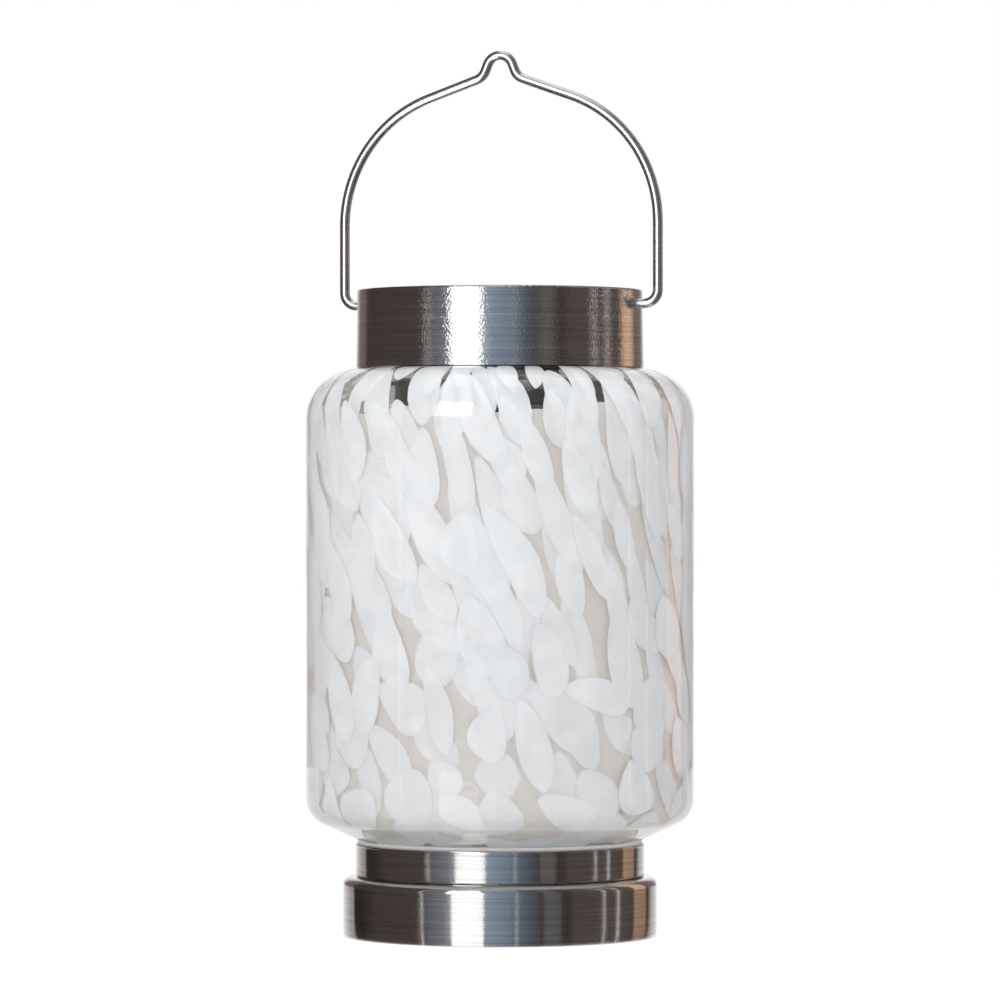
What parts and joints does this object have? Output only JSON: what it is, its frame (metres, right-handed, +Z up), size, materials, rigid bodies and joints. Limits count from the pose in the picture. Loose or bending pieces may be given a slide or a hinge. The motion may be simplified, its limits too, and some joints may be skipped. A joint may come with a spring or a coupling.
{
  "type": "solar jar lantern",
  "caption": "Straight-sided spotted glass lantern on a stepped steel base, with a steel screw cap that holds a solar light module and a bent wire bail with a raised crown for a hook.",
  "frame": {"origin": "centre of the foam pad's underside, on the surface that the lantern stands on", "axes": "+Z up along the glass, X along the bail's swing axis"},
  "size_m": [0.1204, 0.1204, 0.2746],
  "materials": {
    "clear_glass": "clear hand-blown glass with white spots fused in",
    "polished_steel": "bright stainless steel, finely turned",
    "brushed_steel": "stainless steel, brushed round the axis",
    "bright_wire": "bright drawn stainless wire",
    "black_plastic": "fine matte moulded",
    "black_rubber": "matte",
    "clear_silicone": "satin translucent",
    "grey_foam": "closed-cell foam",
    "solar_laminate": "dark cells under clear resin",
    "green_board": "solder mask",
    "clear_resin": "clear epoxy",
    "battery_sleeve": "shrink sleeve",
    "plated_contact": "nickel plated",
    "zinc_screw": "zinc plated",
    "wire_sleeve": "insulated stranded wire"
  },
  "bodies": {
    "jar": {"glass_jar": "clear_glass", "base_collar": "polished_steel", "foot_ring": "polished_steel", "base_plate": "polished_steel", "foot_pad": "grey_foam", "base_rivets": "zinc_screw", "seat_gasket": "clear_silicone", "bond_ring": "clear_silicone"},
    "lid": {"cap_shell": "brushed_steel", "neck_liner": "black_plastic", "lid_gasket": "black_rubber", "liner_screws": "zinc_screw", "panel_gasket": "black_rubber", "solar_panel": "solar_laminate", "module_housing": "black_plastic", "module_cover": "black_plastic", "cover_screws": "zinc_screw", "circuit_board": "green_board", "light_diode": "clear_resin", "switch_body": "plated_contact", "battery": "battery_sleeve", "contact_negative": "plated_contact", "contact_positive": "plated_contact", "solar_leads": "wire_sleeve", "battery_leads": "wire_sleeve"},
    "bail": {"bail_handle": "bright_wire"},
    "slider": {"switch_slider": "black_plastic"},
    "door": {"battery_door": "black_plastic"}
  },
  "joints": [
    {"name": "lid_lift", "type": "slide", "parent": "jar", "child": "lid", "axis": [0, 0, 1], "range_m": [0, 0.06]},
    {"name": "bail_swing", "type": "hinge", "parent": "lid", "child": "bail", "pos_m": [0, 0, 0.1958], "axis": [1, 0, 0], "range_deg": [-116, 116]},
    {"name": "switch_slide", "type": "slide", "parent": "lid", "child": "slider", "axis": [1, 0, 0], "range_m": [0, 0.0025]},
    {"name": "battery_door_swing", "type": "hinge", "parent": "lid", "child": "door", "pos_m": [0, 0.01955, 0.1658], "axis": [1, 0, 0], "range_deg": [0, 95]}
  ]
}
